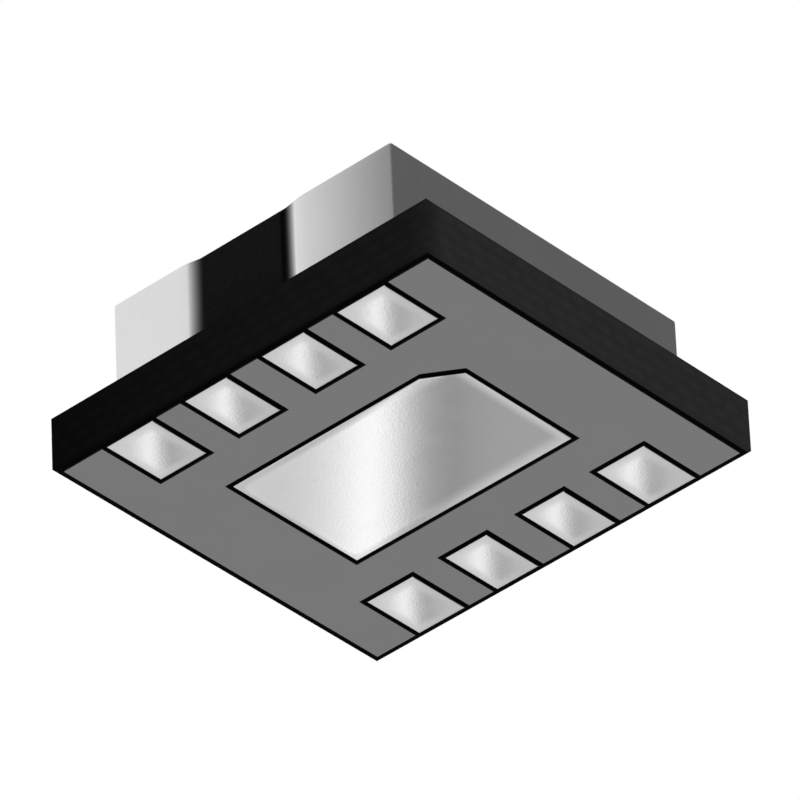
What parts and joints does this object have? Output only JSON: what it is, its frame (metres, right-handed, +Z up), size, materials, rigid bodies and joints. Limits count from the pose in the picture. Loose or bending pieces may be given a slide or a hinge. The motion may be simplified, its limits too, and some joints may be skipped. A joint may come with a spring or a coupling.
{
  "type": "buck converter module",
  "caption": "Micro step-down power module: black board with silver contacts and a thermal pad underneath, a chip inductor with silver end caps on top.",
  "frame": {"origin": "centre of the plane that the contacts stand on, under the middle of the board", "axes": "+Z up, away from the contacts; +X along the two rows of contacts; +Y across them; the thermal pad's chamfered corner points to +X and -Y"},
  "size_m": [0.003, 0.0028, 0.0011],
  "materials": {
    "board_laminate": "black glass-filled laminate with sawn edges",
    "grey_solder_mask": "satin mid-grey mask",
    "tin_plated_contact": "satin tin plating on copper",
    "inner_copper": "plated copper",
    "silicon": "ground silicon",
    "attach_film": "cured adhesive film",
    "magnetic_core": "black moulded magnetic powder composite",
    "carrier_film": "thin insulating film",
    "tin_plated_terminal": "satin tin plating",
    "solder": "reflowed solder"
  },
  "bodies": {
    "root": {"laminate": "board_laminate", "bottom_solder_mask": "grey_solder_mask", "top_solder_mask": "grey_solder_mask", "thermal_pad": "tin_plated_contact", "pad_1": "tin_plated_contact", "pad_2": "tin_plated_contact", "pad_3": "tin_plated_contact", "pad_4": "tin_plated_contact", "pad_5": "tin_plated_contact", "pad_6": "tin_plated_contact", "pad_7": "tin_plated_contact", "pad_8": "tin_plated_contact", "enable_trace": "inner_copper", "input_trace": "inner_copper", "ground_trace": "inner_copper", "output_trace": "inner_copper", "switch_trace": "inner_copper", "feedback_trace": "inner_copper", "soft_start_trace": "inner_copper", "power_good_trace": "inner_copper", "switch_land": "tin_plated_contact", "output_land": "tin_plated_contact", "die": "silicon", "die_contacts": "inner_copper", "die_attach_film": "attach_film", "inductor_core": "magnetic_core", "inductor_coil": "inner_copper", "coil_carrier": "carrier_film", "switch_terminal": "tin_plated_terminal", "output_terminal": "tin_plated_terminal", "switch_solder_joint": "solder", "output_solder_joint": "solder"}
  },
  "joints": []
}
